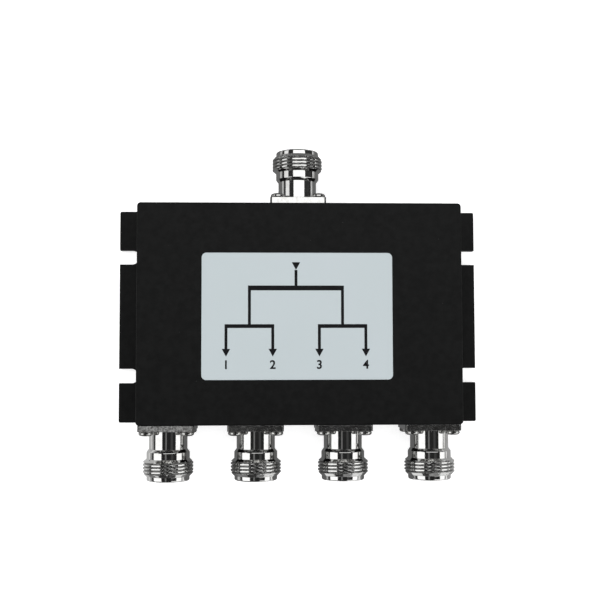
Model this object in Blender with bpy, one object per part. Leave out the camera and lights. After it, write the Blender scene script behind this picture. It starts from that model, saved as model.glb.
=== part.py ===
"""RF power splitter: a black cast housing with one coaxial input and four coaxial outputs.

It lies on its back: the origin is the centre of the base, the label faces +Z,
the input connector points to +Y and the four outputs point to -Y.
"""
import math

import bmesh
import bpy
from mathutils import Matrix

# Clearances between pieces that touch on the real object
SEAT_GAP = 0.0003
FOIL_GAP = 0.0001
CUT_MARGIN = 0.001

# Microstrip network: three two-way dividers of two sections each, which set the board's length
INPUT_LINE_LENGTH = 0.0122
SECTION_PITCH = 0.0085
SECTION_COUNT = 2
DIVIDER_LINK_LENGTH = 0.0050
OUTPUT_LINE_LENGTH = 0.0092
LINE_WIDTH = 0.0024
ARM_WIDTH = 0.0013
ARM_REACH = 0.0060
ARM_DROP = 0.0055
NECK_REACH = 0.0017
TRACE_EDGE_MARGIN = 0.0005
TRACE_THICKNESS = 0.0001
RESISTOR_LENGTH = 0.0032
RESISTOR_WIDTH = 0.0016
RESISTOR_HEIGHT = 0.0006
BOARD_THICKNESS = 0.0010
BOARD_SCREW_ABOVE_DIVIDER = 0.0020
BOARD_SCREW_SETBACK = 0.0045

# Housing
OUTPUT_SPACING = 0.0276
POCKET_MARGIN = 0.0021
SIDE_WALL = 0.0070
PORT_WALL = 0.0040
FRONT_WALL = 0.0030
PORT_AXIS_TO_FRONT = 0.0100
HOUSING_CORNER_RADIUS = 0.0011
FRONT_EDGE_ROUND = 0.0004
CAVITY_CORNER_RADIUS = 0.0030
INPUT_OFFSET_X = -0.0005

# Mounting ears, which belong to the housing's casting
EAR_REACH = 0.0076
EAR_ROOT = 0.0002
EAR_LENGTH_Y = 0.0686
EAR_OFFSET_Y = -0.0003
EAR_THICKNESS = 0.0030
EAR_CORNER_RADIUS = 0.0005
SLOT_WIDTH = 0.00465
SLOT_DEPTH = 0.0063
SLOT_SPACING = 0.0386

# Back cover, set flush into the back of the housing
COVER_THICKNESS = 0.0017
COVER_LEDGE_X = 0.0045
COVER_LEDGE_Y = 0.0010
COVER_CORNER_RADIUS = 0.0030
COVER_SCREW_WALL_INSET = 0.0021
COVER_SCREW_CORNER_SETBACK = 0.0020
COVER_SCREW_PILLAR_SETBACK = 0.0015
PILLAR_RADIUS = 0.0028
BOSS_RADIUS = 0.0030

# Connector shell, with stations measured outward from the housing's wall
FLANGE_SCREW_SPACING = 0.0127
FLANGE_SCREW_EDGE = 0.0024
FLANGE_FRONT = 0.0020
FLANGE_CORNER_RADIUS = 0.0010
FLANGE_TO_BACK = 0.00125
NECK_TO_SCREW_HEAD = 0.00073
NECK_LENGTH = 0.0059
COLLAR_RADIUS = 0.0068
COLLAR_CHAMFER = 0.00065
COLLAR_LENGTH = 0.00225
THREAD_RADIUS = 0.00794
THREAD_DEPTH = 0.00060
THREAD_PITCH = 0.001058
THREAD_RUNOUT = 0.0010
THREAD_TURNS = 3
THREAD_LEAD_IN = 0.0012
RIM_RADIUS = 0.00675
RIM_LENGTH = 0.0015
RIM_EDGE_ROUND = 0.0002
MOUTH_RADIUS = 0.00405
MOUTH_CHAMFER = 0.0004
MOUTH_DEPTH = 0.0090
BORE_RADIUS = 0.0035

# Insulator and centre contact inside a connector
SPIGOT_RADIUS = 0.00205
CONTACT_RADIUS = 0.00152
CONTACT_BORE_RADIUS = 0.000835
CONTACT_BORE_DEPTH = 0.0070
CONTACT_TIP_DEPTH = 0.0049
CONTACT_SLOT_WIDTH = 0.0004
CONTACT_SLOT_LENGTH = 0.0045
CONTACT_SHOULDER = 0.0025
TAIL_RADIUS = 0.0006
TAIL_REACH = 0.0035

# Screws: pan heads on the flanges and the board, countersunk heads in the cover
PAN_HEAD_RADIUS = 0.0022
PAN_HEAD_HEIGHT = 0.0015
PAN_SHANK_RADIUS = 0.00125
FLANGE_SHANK_LENGTH = 0.0048
BOARD_SHANK_LENGTH = 0.0050
RECESS_REACH = 0.0012
RECESS_WIDTH = 0.0006
RECESS_DEPTH = 0.0008
COVER_HEAD_RADIUS = 0.0019
COVER_HEAD_HEIGHT = 0.0011
COVER_SHANK_RADIUS = 0.0010
COVER_SHANK_END = 0.0060

# Label on the front face
LABEL_SIZE_X = 0.0591
LABEL_SIZE_Y = 0.0393
LABEL_OFFSET_X = -0.0009
LABEL_OFFSET_Y = -0.0009
LABEL_THICKNESS = 0.0002
LABEL_CORNER_RADIUS = 0.0015

# Facets of the round pieces
SHELL_SEGMENTS = 20
INNER_SEGMENTS = 12
SCREW_SEGMENTS = 10
CORNER_STEPS = 3
SMOOTH_ANGLE = math.radians(35.0)

# Sizes that follow from those above
DIVIDER_LENGTH = SECTION_COUNT * SECTION_PITCH
NETWORK_LENGTH = 2.0 * DIVIDER_LENGTH + DIVIDER_LINK_LENGTH
BOARD_LENGTH_Y = INPUT_LINE_LENGTH + NETWORK_LENGTH + OUTPUT_LINE_LENGTH
FIRST_DIVIDER_Y = BOARD_LENGTH_Y / 2.0 - INPUT_LINE_LENGTH
SECOND_DIVIDER_Y = FIRST_DIVIDER_Y - DIVIDER_LENGTH - DIVIDER_LINK_LENGTH
OUTPUT_POSITIONS = [OUTPUT_SPACING * place for place in (-1.5, -0.5, 0.5, 1.5)]
CAVITY_HALF_X = OUTPUT_POSITIONS[-1] + POCKET_MARGIN
CAVITY_HALF_Y = BOARD_LENGTH_Y / 2.0 + SEAT_GAP
HOUSING_HALF_X = CAVITY_HALF_X + SIDE_WALL
HOUSING_HALF_Y = CAVITY_HALF_Y + PORT_WALL
FLANGE_SIDE = FLANGE_SCREW_SPACING + 2.0 * FLANGE_SCREW_EDGE
PORT_AXIS_Z = FLANGE_TO_BACK + FLANGE_SIDE / 2.0
HOUSING_DEPTH = PORT_AXIS_Z + PORT_AXIS_TO_FRONT
FRONT_INNER_Z = HOUSING_DEPTH - FRONT_WALL
REBATE_DEPTH = COVER_THICKNESS + SEAT_GAP
REBATE_HALF_X = CAVITY_HALF_X + COVER_LEDGE_X
REBATE_HALF_Y = CAVITY_HALF_Y + COVER_LEDGE_Y
NECK_RADIUS = FLANGE_SCREW_SPACING / math.sqrt(2.0) - PAN_HEAD_RADIUS - NECK_TO_SCREW_HEAD
NECK_END = FLANGE_FRONT + NECK_LENGTH
COLLAR_START = NECK_END + COLLAR_CHAMFER
COLLAR_END = COLLAR_START + COLLAR_LENGTH
THREAD_START = COLLAR_END + THREAD_RUNOUT
THREAD_END = THREAD_START + THREAD_TURNS * THREAD_PITCH
RIM_START = THREAD_END + THREAD_LEAD_IN
SHELL_TIP = RIM_START + RIM_LENGTH
MOUTH_FLOOR = SHELL_TIP - MOUTH_DEPTH
CONTACT_TIP = SHELL_TIP - CONTACT_TIP_DEPTH
TRACE_BACK_Z = PORT_AXIS_Z + TAIL_RADIUS + SEAT_GAP
BOARD_BACK_Z = TRACE_BACK_Z + TRACE_THICKNESS + FOIL_GAP
BOARD_FRONT_Z = BOARD_BACK_Z + BOARD_THICKNESS
BOSS_END_Z = BOARD_FRONT_Z + SEAT_GAP
PAN_HOLE_RADIUS = PAN_SHANK_RADIUS + SEAT_GAP
COVER_HOLE_RADIUS = COVER_SHANK_RADIUS + SEAT_GAP
BOARD_SCREW_SEAT_Z = BOARD_BACK_Z - SEAT_GAP
FLANGE_SCREW_SEAT = FLANGE_FRONT + SEAT_GAP
PORTS = [("input", INPUT_OFFSET_X, 1)]
PORTS += [(f"output_{index + 1}", x, -1) for index, x in enumerate(OUTPUT_POSITIONS)]


def clear_scene():
    for obj in list(bpy.data.objects):
        bpy.data.objects.remove(obj, do_unlink=True)


# Meshes


def closed_mesh(name, verts, faces):
    """A mesh whose faces all point outward."""
    mesh = bpy.data.meshes.new(name)
    mesh.from_pydata(verts, [], faces)
    work = bmesh.new()
    work.from_mesh(mesh)
    bmesh.ops.recalc_face_normals(work, faces=work.faces)
    work.to_mesh(mesh)
    work.free()
    return mesh


def rounded_outline(half_x, half_y, radius, centre_x=0.0, centre_y=0.0):
    """Points round a rectangle with round corners, counter-clockwise."""
    points = []
    for quarter, (side_x, side_y) in enumerate(((1, 1), (-1, 1), (-1, -1), (1, -1))):
        corner_x = centre_x + side_x * (half_x - radius)
        corner_y = centre_y + side_y * (half_y - radius)
        for step in range(CORNER_STEPS + 1):
            angle = math.pi / 2.0 * (quarter + step / CORNER_STEPS)
            points.append((corner_x + radius * math.cos(angle), corner_y + radius * math.sin(angle)))
    return points


def cross_outline(reach, width):
    """The twelve corners of a plus sign."""
    half = width / 2.0
    arm = [(reach, -half), (reach, half), (half, half)]
    points = []
    for quarter in range(4):
        turn = Matrix.Rotation(math.pi / 2.0 * quarter, 2)
        for x, y in arm:
            points.append((turn[0][0] * x + turn[0][1] * y, turn[1][0] * x + turn[1][1] * y))
    return points


def loft_mesh(name, levels):
    """A solid through outlines of equal count, given as (outline, z) from one end to the other."""
    count = len(levels[0][0])
    verts = [(x, y, z) for outline, z in levels for x, y in outline]
    last = (len(levels) - 1) * count
    faces = [tuple(range(count)), tuple(range(last, last + count))]
    for level in range(len(levels) - 1):
        low = level * count
        for index in range(count):
            following = (index + 1) % count
            faces.append((low + index, low + following, low + count + following, low + count + index))
    return closed_mesh(name, verts, faces)


def prism_mesh(name, outline, z_low, z_high):
    return loft_mesh(name, [(outline, z_low), (outline, z_high)])


def turned_mesh(name, profile, segments):
    """A turned solid about Z. A profile of (radius, z) that leaves the axis alone is a ring."""
    verts = []
    rings = []
    for radius, z in profile:
        start = len(verts)
        if radius == 0.0:
            verts.append((0.0, 0.0, z))
            rings.append([start] * segments)
            continue
        for step in range(segments):
            angle = 2.0 * math.pi * step / segments
            verts.append((radius * math.cos(angle), radius * math.sin(angle), z))
        rings.append(list(range(start, start + segments)))
    pairs = list(zip(rings, rings[1:]))
    if profile[0][0] > 0.0:
        pairs.append((rings[-1], rings[0]))
    faces = []
    for near, far in pairs:
        for step in range(segments):
            following = (step + 1) % segments
            corners = [near[step], near[following], far[following], far[step]]
            faces.append(tuple(dict.fromkeys(corners)))
    return closed_mesh(name, verts, faces)


def cylinder_mesh(name, radius, z_low, z_high, segments):
    profile = [(0.0, z_low), (radius, z_low), (radius, z_high), (0.0, z_high)]
    return turned_mesh(name, profile, segments)


def joined_mesh(name, parts):
    """One mesh out of (mesh, matrix) pairs that don't meet each other."""
    work = bmesh.new()
    for mesh, matrix in parts:
        moved = mesh.copy()
        moved.transform(matrix)
        work.from_mesh(moved)
        bpy.data.meshes.remove(moved)
    joined = bpy.data.meshes.new(name)
    work.to_mesh(joined)
    work.free()
    return joined


def strips_mesh(name, strips, z_low, z_high):
    """A flat sheet covering every (x_low, x_high, y_low, y_high) strip, as one solid."""
    xs = sorted({round(value, 7) for strip in strips for value in strip[:2]})
    ys = sorted({round(value, 7) for strip in strips for value in strip[2:]})
    work = bmesh.new()
    corners = {}

    def corner(column, row):
        if (column, row) not in corners:
            corners[column, row] = work.verts.new((xs[column], ys[row], z_low))
        return corners[column, row]

    for column in range(len(xs) - 1):
        for row in range(len(ys) - 1):
            x = (xs[column] + xs[column + 1]) / 2.0
            y = (ys[row] + ys[row + 1]) / 2.0
            if any(x0 < x < x1 and y0 < y < y1 for x0, x1, y0, y1 in strips):
                work.faces.new([
                    corner(column, row), corner(column + 1, row),
                    corner(column + 1, row + 1), corner(column, row + 1),
                ])
    grown = bmesh.ops.extrude_face_region(work, geom=list(work.faces))
    top = [item for item in grown["geom"] if isinstance(item, bmesh.types.BMVert)]
    bmesh.ops.translate(work, verts=top, vec=(0.0, 0.0, z_high - z_low))
    bmesh.ops.recalc_face_normals(work, faces=work.faces)
    bmesh.ops.dissolve_limit(
        work, angle_limit=math.radians(1.0), verts=work.verts, edges=work.edges,
    )
    mesh = bpy.data.meshes.new(name)
    work.to_mesh(mesh)
    work.free()
    return mesh


def combined_mesh(base, tool, operation):
    """The base mesh after a Boolean with the tool mesh."""
    base_object = bpy.data.objects.new("boolean_base", base)
    tool_object = bpy.data.objects.new("boolean_tool", tool)
    for obj in (base_object, tool_object):
        bpy.context.scene.collection.objects.link(obj)
    modifier = base_object.modifiers.new("combine", "BOOLEAN")
    modifier.operation = operation
    modifier.solver = "EXACT"
    modifier.object = tool_object
    depsgraph = bpy.context.evaluated_depsgraph_get()
    result = bpy.data.meshes.new_from_object(base_object.evaluated_get(depsgraph))
    for obj in (base_object, tool_object):
        bpy.data.objects.remove(obj, do_unlink=True)
    result.name = base.name
    return result


def cut(base, *tools):
    for tool in tools:
        base = combined_mesh(base, tool, "DIFFERENCE")
    return base


def fused(base, *tools):
    for tool in tools:
        base = combined_mesh(base, tool, "UNION")
    return base


# Materials and objects


def material(name, colour, roughness, metallic):
    made = bpy.data.materials.new(name)
    made.use_nodes = True
    shader = made.node_tree.nodes["Principled BSDF"]
    shader.inputs["Base Color"].default_value = (*colour, 1.0)
    shader.inputs["Roughness"].default_value = roughness
    shader.inputs["Metallic"].default_value = metallic
    made.diffuse_color = (*colour, 1.0)
    return made


def piece(name, mesh, finish, matrix=None):
    """Puts a mesh in the scene as a named piece with its own finish."""
    if not mesh.materials:
        mesh.materials.append(finish)
    mesh.shade_smooth()
    mesh.set_sharp_from_angle(angle=SMOOTH_ANGLE)
    obj = bpy.data.objects.new(name, mesh)
    obj.matrix_world = matrix or Matrix.Identity(4)
    bpy.context.scene.collection.objects.link(obj)
    return obj


def port_matrix(x, side):
    """Turns local +Z to point out of the wall at a port, with the wall's face at z = 0."""
    turn = Matrix.Rotation(-side * math.pi / 2.0, 4, "X")
    return Matrix.Translation((x, side * HOUSING_HALF_Y, PORT_AXIS_Z)) @ turn


def flange_screw_offsets():
    half = FLANGE_SCREW_SPACING / 2.0
    return [(-half, -half), (half, -half), (half, half), (-half, half)]


def cover_screw_positions():
    """Four screws in the side walls near the corners and four on pillars between the ports."""
    wall_x = CAVITY_HALF_X + COVER_SCREW_WALL_INSET
    wall_y = CAVITY_HALF_Y - COVER_SCREW_CORNER_SETBACK
    places = [(side_x * wall_x, side_y * wall_y) for side_y in (1, -1) for side_x in (-1, 1)]
    return places + pillar_positions()


def pillar_positions():
    y = CAVITY_HALF_Y - COVER_SCREW_PILLAR_SETBACK
    return [(side_x * OUTPUT_SPACING, side_y * y) for side_y in (1, -1) for side_x in (-1, 1)]


def board_screw_positions():
    """Two screws on the input's half and two on the outputs', clear of the lines and pillars."""
    input_x = (OUTPUT_SPACING + OUTPUT_POSITIONS[3]) / 2.0
    input_y = FIRST_DIVIDER_Y + BOARD_SCREW_ABOVE_DIVIDER
    output_x = (OUTPUT_SPACING + OUTPUT_POSITIONS[2]) / 2.0
    output_y = BOARD_SCREW_SETBACK - CAVITY_HALF_Y
    places = [(side * input_x, input_y) for side in (-1, 1)]
    return places + [(side * output_x, output_y) for side in (-1, 1)]


# Housing and cover


def housing_outer_mesh():
    """The block with its front edge rounded, before anything is cut into it."""
    levels = [(rounded_outline(HOUSING_HALF_X, HOUSING_HALF_Y, HOUSING_CORNER_RADIUS), 0.0)]
    for step in range(CORNER_STEPS + 1):
        angle = math.pi / 2.0 * step / CORNER_STEPS
        inset = FRONT_EDGE_ROUND * (1.0 - math.cos(angle))
        z = HOUSING_DEPTH - FRONT_EDGE_ROUND * (1.0 - math.sin(angle))
        outline = rounded_outline(
            HOUSING_HALF_X - inset, HOUSING_HALF_Y - inset, HOUSING_CORNER_RADIUS - inset,
        )
        levels.append((outline, z))
    return loft_mesh("housing", levels)


def ears_mesh():
    """A plate on each side wall, round at its outer corners, with its root just inside the wall."""
    half_y = EAR_LENGTH_Y / 2.0
    across = rounded_outline(
        HOUSING_HALF_X + EAR_REACH, half_y, EAR_CORNER_RADIUS, 0.0, EAR_OFFSET_Y,
    )
    root_x = HOUSING_HALF_X - EAR_ROOT
    root = [(root_x, EAR_OFFSET_Y + half_y), (root_x, EAR_OFFSET_Y - half_y)]
    arc = CORNER_STEPS + 1
    outline = across[:arc] + root + across[-arc:]
    parts = []
    for side in (-1, 1):
        ear = prism_mesh("ear", [(side * x, y) for x, y in outline], 0.0, EAR_THICKNESS)
        parts.append((ear, Matrix.Identity(4)))
    return joined_mesh("ears", parts)


def slot_outline(side, centre_y):
    """A U slot that is open at the ear's outer edge and round at its inner end."""
    half = SLOT_WIDTH / 2.0
    edge = HOUSING_HALF_X + EAR_REACH
    round_x = edge - SLOT_DEPTH + half
    points = [(side * (edge + CUT_MARGIN), centre_y + half)]
    for step in range(SCREW_SEGMENTS + 1):
        angle = math.pi / 2.0 + math.pi * step / SCREW_SEGMENTS
        points.append((side * (round_x + half * math.cos(angle)), centre_y + half * math.sin(angle)))
    points.append((side * (edge + CUT_MARGIN), centre_y - half))
    return points


def slots_mesh():
    parts = []
    for side in (-1, 1):
        for step in (-1, 1):
            centre_y = EAR_OFFSET_Y + step * SLOT_SPACING / 2.0
            outline = slot_outline(side, centre_y)
            slot = prism_mesh("slot", outline, -CUT_MARGIN, EAR_THICKNESS + CUT_MARGIN)
            parts.append((slot, Matrix.Identity(4)))
    return joined_mesh("slots", parts)


def wall_holes_mesh():
    """Holes through the walls for the insulators' spigots and blind holes for flange screws."""
    parts = []
    spigot_hole = cylinder_mesh(
        "spigot_hole", SPIGOT_RADIUS + SEAT_GAP, -PORT_WALL - CUT_MARGIN, CUT_MARGIN, INNER_SEGMENTS,
    )
    blind_end = FLANGE_SCREW_SEAT - FLANGE_SHANK_LENGTH - SEAT_GAP
    screw_hole = cylinder_mesh(
        "flange_screw_hole", PAN_HOLE_RADIUS, blind_end, CUT_MARGIN, SCREW_SEGMENTS,
    )
    for _, x, side in PORTS:
        place = port_matrix(x, side)
        parts.append((spigot_hole, place))
        for offset_x, offset_y in flange_screw_offsets():
            parts.append((screw_hole, place @ Matrix.Translation((offset_x, offset_y, 0.0))))
    return joined_mesh("wall_holes", parts)


def back_holes_mesh():
    """Blind holes for the cover's screws and the board's screws."""
    parts = []
    cover_hole = cylinder_mesh(
        "cover_screw_hole", COVER_HOLE_RADIUS, 0.0, COVER_SHANK_END + SEAT_GAP, SCREW_SEGMENTS,
    )
    for x, y in cover_screw_positions():
        parts.append((cover_hole, Matrix.Translation((x, y, 0.0))))
    board_hole_end = BOARD_SCREW_SEAT_Z + BOARD_SHANK_LENGTH + SEAT_GAP
    board_hole = cylinder_mesh(
        "board_screw_hole", PAN_HOLE_RADIUS, BOARD_FRONT_Z, board_hole_end, SCREW_SEGMENTS,
    )
    for x, y in board_screw_positions():
        parts.append((board_hole, Matrix.Translation((x, y, 0.0))))
    return joined_mesh("back_holes", parts)


def cavity_mesh():
    """The hollow inside, less the pillars and bosses that stand in it."""
    outline = rounded_outline(CAVITY_HALF_X, CAVITY_HALF_Y, CAVITY_CORNER_RADIUS)
    hollow = prism_mesh("cavity", outline, REBATE_DEPTH, FRONT_INNER_Z)
    top = FRONT_INNER_Z + CUT_MARGIN
    pillar = cylinder_mesh("pillar", PILLAR_RADIUS, 0.0, top, INNER_SEGMENTS)
    boss = cylinder_mesh("boss", BOSS_RADIUS, BOSS_END_Z, top, INNER_SEGMENTS)
    parts = [(pillar, Matrix.Translation((x, y, 0.0))) for x, y in pillar_positions()]
    parts += [(boss, Matrix.Translation((x, y, 0.0))) for x, y in board_screw_positions()]
    return cut(hollow, joined_mesh("posts", parts))


def make_housing(finish):
    rebate = prism_mesh(
        "rebate",
        rounded_outline(REBATE_HALF_X, REBATE_HALF_Y, COVER_CORNER_RADIUS),
        -CUT_MARGIN, REBATE_DEPTH,
    )
    block = fused(housing_outer_mesh(), ears_mesh())
    block = cut(block, cavity_mesh(), rebate, slots_mesh(), wall_holes_mesh(), back_holes_mesh())
    piece("housing", block, finish)


def make_back_cover(finish):
    outline = rounded_outline(
        REBATE_HALF_X - SEAT_GAP, REBATE_HALF_Y - SEAT_GAP, COVER_CORNER_RADIUS - SEAT_GAP,
    )
    plate = prism_mesh("back_cover", outline, 0.0, COVER_THICKNESS)
    slope = (COVER_HEAD_RADIUS - COVER_SHANK_RADIUS) / COVER_HEAD_HEIGHT
    wide = COVER_HEAD_RADIUS + SEAT_GAP + slope * CUT_MARGIN
    countersink = turned_mesh(
        "countersink",
        [
            (0.0, -CUT_MARGIN), (wide, -CUT_MARGIN), (COVER_HOLE_RADIUS, COVER_HEAD_HEIGHT),
            (COVER_HOLE_RADIUS, COVER_THICKNESS + CUT_MARGIN), (0.0, COVER_THICKNESS + CUT_MARGIN),
        ],
        SCREW_SEGMENTS,
    )
    places = [Matrix.Translation((x, y, 0.0)) for x, y in cover_screw_positions()]
    holes = joined_mesh("cover_holes", [(countersink, place) for place in places])
    piece("back_cover", cut(plate, holes), finish)


def make_cover_screws(finish):
    """Countersunk screws, flush with the back of the cover."""
    profile = [
        (0.0, 0.0), (COVER_HEAD_RADIUS, 0.0), (COVER_SHANK_RADIUS, COVER_HEAD_HEIGHT),
        (COVER_SHANK_RADIUS, COVER_SHANK_END), (0.0, COVER_SHANK_END),
    ]
    screw = turned_mesh("cover_screw", profile, SCREW_SEGMENTS)
    recess = prism_mesh(
        "cover_recess", cross_outline(RECESS_REACH, RECESS_WIDTH), -CUT_MARGIN, RECESS_DEPTH,
    )
    screw = cut(screw, recess)
    for index, (x, y) in enumerate(cover_screw_positions()):
        piece(f"cover_screw_{index + 1}", screw, finish, Matrix.Translation((x, y, 0.0)))


# Pan head screws


def pan_screw_mesh(name, shank_length):
    """A pan head on z = 0 with its shank running down the -Z axis."""
    profile = [
        (0.0, PAN_HEAD_HEIGHT),
        (PAN_HEAD_RADIUS * 0.65, PAN_HEAD_HEIGHT),
        (PAN_HEAD_RADIUS, PAN_HEAD_HEIGHT * 0.55),
        (PAN_HEAD_RADIUS, 0.0),
        (PAN_SHANK_RADIUS, 0.0),
        (PAN_SHANK_RADIUS, -shank_length),
        (0.0, -shank_length),
    ]
    screw = turned_mesh(name, profile, SCREW_SEGMENTS)
    recess = prism_mesh(
        "pan_recess", cross_outline(RECESS_REACH, RECESS_WIDTH),
        PAN_HEAD_HEIGHT - RECESS_DEPTH, PAN_HEAD_HEIGHT + CUT_MARGIN,
    )
    return cut(screw, recess)


def make_flange_screws(finish):
    screw = pan_screw_mesh("flange_screw", FLANGE_SHANK_LENGTH)
    for name, x, side in PORTS:
        for index, (offset_x, offset_y) in enumerate(flange_screw_offsets()):
            seat = Matrix.Translation((offset_x, offset_y, FLANGE_SCREW_SEAT))
            piece(f"{name}_flange_screw_{index + 1}", screw, finish, port_matrix(x, side) @ seat)


def make_board_screws(finish):
    screw = pan_screw_mesh("board_screw", BOARD_SHANK_LENGTH)
    face_back = Matrix.Rotation(math.pi, 4, "X")
    for index, (x, y) in enumerate(board_screw_positions()):
        place = Matrix.Translation((x, y, BOARD_SCREW_SEAT_Z)) @ face_back
        piece(f"board_screw_{index + 1}", screw, finish, place)


# Connectors


def thread_profile():
    """Crests and roots of the coupling thread, drawn as rings at the thread's pitch."""
    points = []
    for turn in range(THREAD_TURNS):
        crest = THREAD_START + turn * THREAD_PITCH
        points.append((THREAD_RADIUS, crest))
        points.append((THREAD_RADIUS - THREAD_DEPTH, crest + THREAD_PITCH / 2.0))
    points.append((THREAD_RADIUS, THREAD_END))
    return points


def shell_mesh():
    """Flange, neck, collar, thread and rim, with the socket and the insulator's bore inside."""
    half = FLANGE_SIDE / 2.0
    outline = rounded_outline(half, half, FLANGE_CORNER_RADIUS)
    flange = prism_mesh("connector_shell", outline, SEAT_GAP, FLANGE_FRONT)
    inside_flange = (SEAT_GAP + FLANGE_FRONT) / 2.0
    barrel_profile = [
        (0.0, inside_flange),
        (NECK_RADIUS, inside_flange),
        (NECK_RADIUS, NECK_END),
        (COLLAR_RADIUS, COLLAR_START),
        (COLLAR_RADIUS, COLLAR_END),
        *thread_profile(),
        (RIM_RADIUS, RIM_START),
        (RIM_RADIUS, SHELL_TIP - RIM_EDGE_ROUND),
        (RIM_RADIUS - RIM_EDGE_ROUND, SHELL_TIP),
        (MOUTH_RADIUS + MOUTH_CHAMFER, SHELL_TIP),
        (MOUTH_RADIUS, SHELL_TIP - MOUTH_CHAMFER),
        (MOUTH_RADIUS, MOUTH_FLOOR),
        (0.0, MOUTH_FLOOR),
    ]
    barrel = turned_mesh("barrel", barrel_profile, SHELL_SEGMENTS)
    bore = cylinder_mesh(
        "bore", BORE_RADIUS, SEAT_GAP - CUT_MARGIN, MOUTH_FLOOR + CUT_MARGIN, SHELL_SEGMENTS,
    )
    screw_hole = cylinder_mesh(
        "flange_hole", PAN_HOLE_RADIUS, SEAT_GAP - CUT_MARGIN, FLANGE_FRONT + CUT_MARGIN,
        SCREW_SEGMENTS,
    )
    holes = [(screw_hole, Matrix.Translation((x, y, 0.0))) for x, y in flange_screw_offsets()]
    return cut(fused(flange, barrel), joined_mesh("shell_cuts", holes + [(bore, Matrix.Identity(4))]))


def insulator_mesh():
    """The stepped ring that carries the contact and reaches through the housing's wall."""
    outer = BORE_RADIUS - SEAT_GAP
    contact_hole = CONTACT_RADIUS + SEAT_GAP
    tail_hole = TAIL_RADIUS + SEAT_GAP
    step = CONTACT_SHOULDER - SEAT_GAP
    front = MOUTH_FLOOR - SEAT_GAP
    profile = [
        (SPIGOT_RADIUS, -PORT_WALL),
        (SPIGOT_RADIUS, SEAT_GAP),
        (outer, SEAT_GAP),
        (outer, front),
        (contact_hole, front),
        (contact_hole, step),
        (tail_hole, step),
        (tail_hole, -PORT_WALL),
    ]
    return turned_mesh("insulator", profile, INNER_SEGMENTS)


def contact_mesh():
    """A slotted socket in front and a thin tail that is soldered to the line on the board."""
    chamfer = (CONTACT_RADIUS - CONTACT_BORE_RADIUS) / 3.0
    tail_end = -PORT_WALL - TAIL_REACH
    profile = [
        (0.0, CONTACT_TIP - CONTACT_BORE_DEPTH),
        (CONTACT_BORE_RADIUS, CONTACT_TIP - CONTACT_BORE_DEPTH),
        (CONTACT_BORE_RADIUS, CONTACT_TIP),
        (CONTACT_RADIUS - chamfer, CONTACT_TIP),
        (CONTACT_RADIUS, CONTACT_TIP - chamfer),
        (CONTACT_RADIUS, CONTACT_SHOULDER),
        (TAIL_RADIUS, CONTACT_SHOULDER),
        (TAIL_RADIUS, tail_end),
        (0.0, tail_end),
    ]
    contact = turned_mesh("centre_contact", profile, INNER_SEGMENTS)
    slots = prism_mesh(
        "contact_slots", cross_outline(CONTACT_RADIUS * 2.0, CONTACT_SLOT_WIDTH),
        CONTACT_TIP - CONTACT_SLOT_LENGTH, CONTACT_TIP + CUT_MARGIN,
    )
    return cut(contact, slots)


def make_connectors(shell_finish, insulator_finish, contact_finish):
    shell = shell_mesh()
    insulator = insulator_mesh()
    contact = contact_mesh()
    for name, x, side in PORTS:
        place = port_matrix(x, side)
        piece(f"{name}_connector_shell", shell, shell_finish, place)
        piece(f"{name}_insulator", insulator, insulator_finish, place)
        piece(f"{name}_centre_contact", contact, contact_finish, place)


# Circuit


def make_circuit_board(finish):
    outline = rounded_outline(
        CAVITY_HALF_X - SEAT_GAP, BOARD_LENGTH_Y / 2.0, CAVITY_CORNER_RADIUS - SEAT_GAP,
    )
    board = prism_mesh("circuit_board", outline, BOARD_BACK_Z, BOARD_FRONT_Z)
    low = BOARD_BACK_Z - CUT_MARGIN
    high = BOARD_FRONT_Z + CUT_MARGIN
    notch = cylinder_mesh("notch", PILLAR_RADIUS + SEAT_GAP, low, high, INNER_SEGMENTS)
    hole = cylinder_mesh("board_hole", PAN_HOLE_RADIUS, low, high, SCREW_SEGMENTS)
    parts = [(notch, Matrix.Translation((x, y, 0.0))) for x, y in pillar_positions()]
    parts += [(hole, Matrix.Translation((x, y, 0.0))) for x, y in board_screw_positions()]
    piece("circuit_board", cut(board, joined_mesh("board_cuts", parts)), finish)


def level_strip(x_from, x_to, y, width):
    half = width / 2.0
    return (min(x_from, x_to) - half, max(x_from, x_to) + half, y - half, y + half)


def upright_strip(x, y_from, y_to, width):
    half = width / 2.0
    return (x - half, x + half, min(y_from, y_to) - half, max(y_from, y_to) + half)


def divider_strips(x, top):
    """Two arms in sections: each section runs out, down and back in to its resistor."""
    strips = [level_strip(x - ARM_REACH, x + ARM_REACH, top, ARM_WIDTH)]
    for section in range(SECTION_COUNT):
        start = top - section * SECTION_PITCH
        for side in (-1, 1):
            far = x + side * ARM_REACH
            near = x + side * NECK_REACH
            if section > 0:
                strips.append(level_strip(near, far, start, ARM_WIDTH))
            strips.append(upright_strip(far, start, start - ARM_DROP, ARM_WIDTH))
            strips.append(level_strip(near, far, start - ARM_DROP, ARM_WIDTH))
            strips.append(upright_strip(near, start - ARM_DROP, start - SECTION_PITCH, ARM_WIDTH))
    return strips


def branch_strips(x, top, spread, bottom):
    """The two lines that leave a divider, run apart and go down to what they feed."""
    strips = []
    level = top - DIVIDER_LENGTH
    for side in (-1, 1):
        near = x + side * (NECK_REACH + (LINE_WIDTH - ARM_WIDTH) / 2.0)
        far = x + side * spread
        strips.append(level_strip(near, far, level, LINE_WIDTH))
        strips.append(upright_strip(far, level, bottom + LINE_WIDTH / 2.0, LINE_WIDTH))
    return strips


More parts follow.
